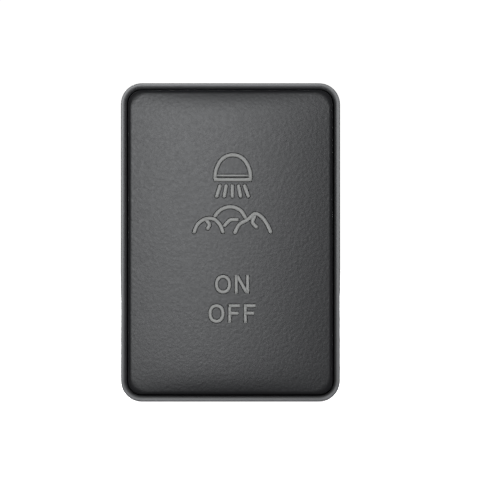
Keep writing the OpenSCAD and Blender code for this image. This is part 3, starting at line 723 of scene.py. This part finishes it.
# Lights behind in metres: place, which is mirrored for the rear and side ones, and width and height
REAR_PLACE, REAR_SIZE = Vector((0.12, 0.5, 0.1)), (0.12, 0.2)
SIDE_PLACE, SIDE_SIZE = Vector((0.55, 0.42, 0.1)), (0.3, 0.3)
TOP_PLACE, TOP_SIZE = Vector((0.0, 0.42, 0.55)), (0.3, 0.3)
CAMERA_CLIP = (0.01, 10)
# Floor and wall: radius of the bend between them as a share of the dome's, and points along each stretch
COVE_SHARE = 0.25
FLAT_POINTS, BEND_POINTS, OVERHEAD_POINTS, TURN_POINTS = 12, 12, 14, 96


def add_light(name, place, size, power, shade, glint=True):
    """Soft rectangular light that looks at the middle of the switch; without a glint it isn't mirrored."""
    lamp = bpy.data.lights.new(name, "AREA")
    lamp.shape = "RECTANGLE"
    lamp.size, lamp.size_y = size
    lamp.energy = power
    lamp.color = shade
    light = bpy.data.objects.new(name, lamp)
    light.location = place
    light.rotation_euler = (-Vector(place)).to_track_quat("-Z", "Y").to_euler()
    light.visible_camera = False
    light.visible_glossy = glint
    bpy.context.scene.collection.objects.link(light)


def add_floor(radius, level, material):
    """Pale floor that sweeps up into a round wall and closes overhead: a profile turned round the Z axis.

    It is seen by the camera alone, so that it throws no light back on the switch.
    """
    cove = COVE_SHARE * radius
    bend = np.radians(np.linspace(0, 90, BEND_POINTS))[1:]
    over = np.radians(np.linspace(0, 90, OVERHEAD_POINTS))[1:]
    flat = np.linspace(0, radius - cove, FLAT_POINTS)
    across = np.concatenate([flat, radius - cove + cove * np.sin(bend), radius * np.cos(over)])[:, None]
    up = np.concatenate([0 * flat, cove - cove * np.cos(bend), cove + radius * np.sin(over)])[:, None]
    turn = np.linspace(0, 2 * math.pi, TURN_POINTS)
    points = np.stack([across * np.cos(turn), across * np.sin(turn), level + up + 0 * turn], axis=-1)
    mesh = bpy.data.meshes.new("pale_floor")
    faces = grid_faces(len(across), TURN_POINTS)[:, ::-1]
    mesh.from_pydata(points.reshape(-1, 3).tolist(), [], faces.tolist())
    mesh.polygons.foreach_set("use_smooth", np.ones(len(mesh.polygons), bool))
    mesh.materials.append(material)
    floor = bpy.data.objects.new("pale_floor", mesh)
    bpy.context.scene.collection.objects.link(floor)
    floor.visible_diffuse = False
    floor.visible_glossy = False
    floor.visible_transmission = False
    floor.visible_shadow = False


class SWITCH_OT_grain_button(bpy.types.Operator):
    """Lays the grained paint over the button's moulding"""

    bl_idname = "switch.grain_button"
    bl_label = "Grain the Button"

    def execute(self, context):
        size, tint = context.scene.switch_button, context.scene.switch_colours
        # The way over the rolled edge is this much longer than the edge is wide
        longer = roll_arc(size) - size.roll
        a = grid_lines(size.width / 2 + longer, size.skirt, size.face_step, size.skirt_step)
        b = grid_lines(size.height / 2 + longer, size.skirt, size.face_step, size.skirt_step)
        a, b = np.meshgrid(a, b)
        moulding = pillow(a, b, size)
        outer = lifted(moulding, size.paint + size.grain * (pebbles(a, b, size) - 0.5))
        inner = lifted(moulding, -size.key)
        rows, columns = a.shape
        count = rows * columns
        border = grid_border(rows, columns)
        ahead = np.roll(border, -1)
        hem = np.stack([border, border + count, ahead + count, ahead], axis=-1)
        faces = np.concatenate([grid_faces(rows, columns), grid_faces(rows, columns, count)[:, ::-1], hem])
        points = np.concatenate([outer.reshape(-1, 3), inner.reshape(-1, 3)])
        # Rubbery paint: no sharp reflection, and the grain shows as a fine mottle
        grained = leather_paint(
            "soft_touch_paint_leather_grain",
            tint.paint,
            roughness=0.36,
            grain_width=0.3 * MM,
            grain_depth=0.006 * MM,
        )
        new_piece("button_skin", points, faces.tolist(), grained, "button")
        # The same paint where the mould is smooth: an even satin
        plain = moulded_plastic(
            "soft_touch_paint_smooth",
            tint.paint,
            roughness=0.45,
            texture=0.15 * MM,
            depth=0.003 * MM,
            edge=0.05 * MM,
        )
        finish_nodes(["button_cap"], plain)
        return {"FINISHED"}


class SWITCH_OT_etch_legend(bpy.types.Operator):
    """Etches the legend: a lamp over boulders, ON and OFF"""

    bl_idname = "switch.etch_legend"
    bl_label = "Etch the Legend"

    def execute(self, context):
        size, mark = context.scene.switch_button, context.scene.switch_legend
        tint = context.scene.switch_colours
        milk = etched_plastic(
            "polycarbonate_milky_etched",
            tint.legend,
            roughness=0.6,
            pit_width=0.12 * MM,
            pit_depth=0.004 * MM,
        )
        # Paint scorched by the laser: a thin, darker outline that sets off the legend
        burnt = moulded_plastic(
            "soft_touch_paint_burnt_edge",
            tint.border,
            roughness=0.44,
            texture=0.1 * MM,
            depth=0.002 * MM,
            edge=0.01 * MM,
        )
        layers = (
            ("legend", milk, 0.0, mark.above),
            ("legend_border", burnt, mark.border, mark.above - mark.border_drop),
        )
        for name, material, wider, high in layers:
            bands, faces, first = [], [], 0
            for path, half_width, closed, round_ends in legend_lines(mark):
                band, rings = ribbon(path, half_width + wider, -size.key, high, closed, round_ends, size)
                bands.append(band)
                faces += tube_faces(rings, BAND_CORNERS, closed, first)
                first += len(band)
            new_piece(name, np.concatenate(bands), faces, material, "button")
        return {"FINISHED"}


class SWITCH_OT_wind_spring(bpy.types.Operator):
    """Winds the return spring, which is squeezed as the button goes in"""

    bl_idname = "switch.wind_spring"
    bl_label = "Wind the Return Spring"

    def execute(self, context):
        size, tint = context.scene.switch_spring, context.scene.switch_colours
        steel = worked_metal(
            "spring_steel_drawn", tint.steel, roughness=0.28, scratch=0.05 * MM, direction=(1, 0.2, 1)
        )
        diameter = SPRING_HIGH.x - SPRING_LOW.x
        points, rings, sides = coil(SPRING_LOW.y, SPRING_HIGH.y, diameter, size.wire, size.turns)
        faces = tube_faces(rings, sides, closed=False)
        spring = new_piece("coil_spring", points, faces, steel, "body")
        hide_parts("return_spring")
        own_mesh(spring)
        finish_nodes(["latch_pin"], steel)
        return {"FINISHED"}


class SWITCH_OT_finish_mouldings(bpy.types.Operator):
    """Gives the moulded pieces their plastics"""

    bl_idname = "switch.finish_mouldings"
    bl_label = "Finish the Mouldings"

    def execute(self, context):
        tint = context.scene.switch_colours
        satin = polished_and_eroded(
            "abs_moulded_satin",
            tint.housing,
            eroded=0.42,
            polished=0.34,
            texture=0.2 * MM,
            depth=0.006 * MM,
        )
        finish_nodes(["housing"], satin)
        # Glass fibres dull the skin: a rougher, greyer black
        filled = moulded_plastic(
            "pbt_glass_filled_moulded",
            tint.base,
            roughness=0.5,
            texture=0.3 * MM,
            depth=0.006 * MM,
            edge=0.12 * MM,
        )
        finish_nodes(["rear_base"], filled)
        # Unfilled acetal: waxy and off-white, with a soft sheen
        acetal = moulded_plastic(
            "acetal_natural_moulded",
            tint.acetal,
            roughness=0.35,
            texture=0.3 * MM,
            depth=0.002 * MM,
            edge=0.1 * MM,
        )
        finish_nodes(["plunger"], acetal)
        # Polished mould: milky, with a small clear highlight
        acrylic = moulded_plastic(
            "acrylic_milky_moulded",
            tint.guide,
            roughness=0.2,
            texture=0.5 * MM,
            depth=0.001 * MM,
            edge=0.08 * MM,
        )
        finish_nodes(["light_guide"], acrylic)
        return {"FINISHED"}


class SWITCH_OT_finish_metal(bpy.types.Operator):
    """Gives the contact, terminals, latch leaf and solder their metals"""

    bl_idname = "switch.finish_metal"
    bl_label = "Finish the Metal Pieces"

    def execute(self, context):
        tint = context.scene.switch_colours
        # Rolled strip: grey, with lines along its length
        rolled = worked_metal(
            "spring_steel_rolled", tint.steel, roughness=0.32, scratch=0.06 * MM, direction=(1, 0.1, 1)
        )
        finish_nodes(["latch_leaf"], rolled)
        # Rolled bronze: the same lines on a warm, reddish metal
        bronze = worked_metal(
            "phosphor_bronze_rolled", tint.bronze, roughness=0.3, scratch=0.06 * MM, direction=(1, 0.1, 1)
        )
        finish_nodes(["moving_contact"], bronze)
        # Thin tin over brass: pale and slightly yellow
        tinned = worked_metal(
            "brass_tinned_stamped", tint.tin, roughness=0.3, scratch=0.08 * MM, direction=(1, 0.08, 1)
        )
        finish_nodes(["terminal_supply", "terminal_load", "terminal_ground", "terminal_dimmer"], tinned)
        # Solder that flowed and froze: smooth and silvery, with no lines
        bright = worked_metal(
            "solder_bright", tint.solder, roughness=0.22, scratch=0.2 * MM, direction=(1, 1, 1)
        )
        finish_nodes(["solder_joints"], bright)
        return {"FINISHED"}


class SWITCH_OT_finish_board(bpy.types.Operator):
    """Gives the lamp board and its components their materials"""

    bl_idname = "switch.finish_board"
    bl_label = "Finish the Lamp Board"

    def execute(self, context):
        tint = context.scene.switch_colours
        # Lacquer over glass cloth: deep green with a faint ripple
        masked = moulded_plastic(
            "glass_epoxy_solder_mask",
            tint.mask,
            roughness=0.4,
            texture=0.5 * MM,
            depth=0.004 * MM,
            edge=0.05 * MM,
        )
        finish_nodes(["lamp_board"], masked)
        # Filled white nylon: pale, even and dull
        case = moulded_plastic(
            "lamp_case_white_moulded",
            tint.lamp,
            roughness=0.45,
            texture=0.2 * MM,
            depth=0.002 * MM,
            edge=0.05 * MM,
        )
        finish_nodes(["legend_lamp_upper", "legend_lamp_lower", "state_lamp"], case)
        # Fired glaze: dark, with a small and fairly sharp highlight
        glazed = moulded_plastic(
            "ceramic_chip_glazed",
            tint.chip,
            roughness=0.3,
            texture=0.2 * MM,
            depth=0.002 * MM,
            edge=0.03 * MM,
        )
        finish_nodes(["legend_resistor", "state_resistor", "blocking_diode"], glazed)
        return {"FINISHED"}


class SWITCH_OT_set_stage(bpy.types.Operator):
    """Sets the pale floor, the soft lights and the camera"""

    bl_idname = "switch.set_stage"
    bl_label = "Set the Stage"

    def execute(self, context):
        scene, size, tint = context.scene, context.scene.switch_stage, context.scene.switch_colours
        add_floor(size.dome, HOUSING_LOW.z, glowing_paper("paper_backdrop_pale", tint.floor, size.glow))
        rim = HOUSING_LOW.y
        for name, (x, y, z), box in FRONT_LIGHTS:
            add_light(name, (x, rim + y, z), box, getattr(size, name), tint.light)
        for side in (-1, 1):
            mirror = Vector((side, 1, 1))
            add_light("rear", REAR_PLACE * mirror, REAR_SIZE, size.rear, tint.light)
            add_light("side", SIDE_PLACE * mirror, SIDE_SIZE, size.side, tint.light, glint=False)
        add_light("top", TOP_PLACE, TOP_SIZE, size.side, tint.light, glint=False)
        world = bpy.data.worlds.new("dim_room")
        world.use_nodes = True
        ground = world.node_tree.nodes["Background"]
        ground.inputs["Color"].default_value = rgba(tint.room)
        ground.inputs["Strength"].default_value = size.room
        scene.world = world
        scene.view_settings.view_transform = "Standard"
        lens = bpy.data.cameras.new("front_camera")
        lens.lens = size.lens
        lens.clip_start, lens.clip_end = CAMERA_CLIP
        camera = bpy.data.objects.new("front_camera", lens)
        camera.location = (size.camera_x, rim - size.stand_off, size.camera_z)
        camera.rotation_euler = (math.pi / 2, 0, 0)
        scene.collection.objects.link(camera)
        scene.camera = camera
        return {"FINISHED"}


class SWITCH_PT_finish(bpy.types.Panel):
    """Lists the steps of the finish and their sizes"""

    bl_label = "Dashboard Switch"
    bl_idname = "SWITCH_PT_finish"
    bl_space_type = "VIEW_3D"
    bl_region_type = "UI"
    bl_category = "Switch"

    def draw(self, context):
        for step in STEPS:
            self.layout.operator(step.bl_idname)
        for group in GROUPS:
            sizes = getattr(context.scene, group)
            for key in sizes.bl_rna.properties.keys():
                if key not in {"rna_type", "name"}:
                    self.layout.prop(sizes, key)


GROUPS = {
    "switch_button": ButtonSizes,
    "switch_legend": LegendSizes,
    "switch_spring": SpringSizes,
    "switch_colours": FinishColours,
    "switch_stage": StageSizes,
}
STEPS = (
    SWITCH_OT_grain_button,
    SWITCH_OT_etch_legend,
    SWITCH_OT_wind_spring,
    SWITCH_OT_finish_mouldings,
    SWITCH_OT_finish_metal,
    SWITCH_OT_finish_board,
    SWITCH_OT_set_stage,
)


def register():
    """Adds the classes to Blender and the settings to its scenes."""
    for kind in (*GROUPS.values(), *STEPS, SWITCH_PT_finish):
        bpy.utils.register_class(kind)
    for key, group in GROUPS.items():
        setattr(bpy.types.Scene, key, PointerProperty(type=group))


def unregister():
    """Takes the settings and the classes out again."""
    for key in GROUPS:
        delattr(bpy.types.Scene, key)
    for kind in (SWITCH_PT_finish, *reversed(STEPS), *GROUPS.values()):
        bpy.utils.unregister_class(kind)


def main():
    """Runs every step in order."""
    register()
    bpy.ops.switch.grain_button()
    bpy.ops.switch.etch_legend()
    bpy.ops.switch.wind_spring()
    bpy.ops.switch.finish_mouldings()
    bpy.ops.switch.finish_metal()
    bpy.ops.switch.finish_board()
    bpy.ops.switch.set_stage()


if __name__ == "__main__":
    main()
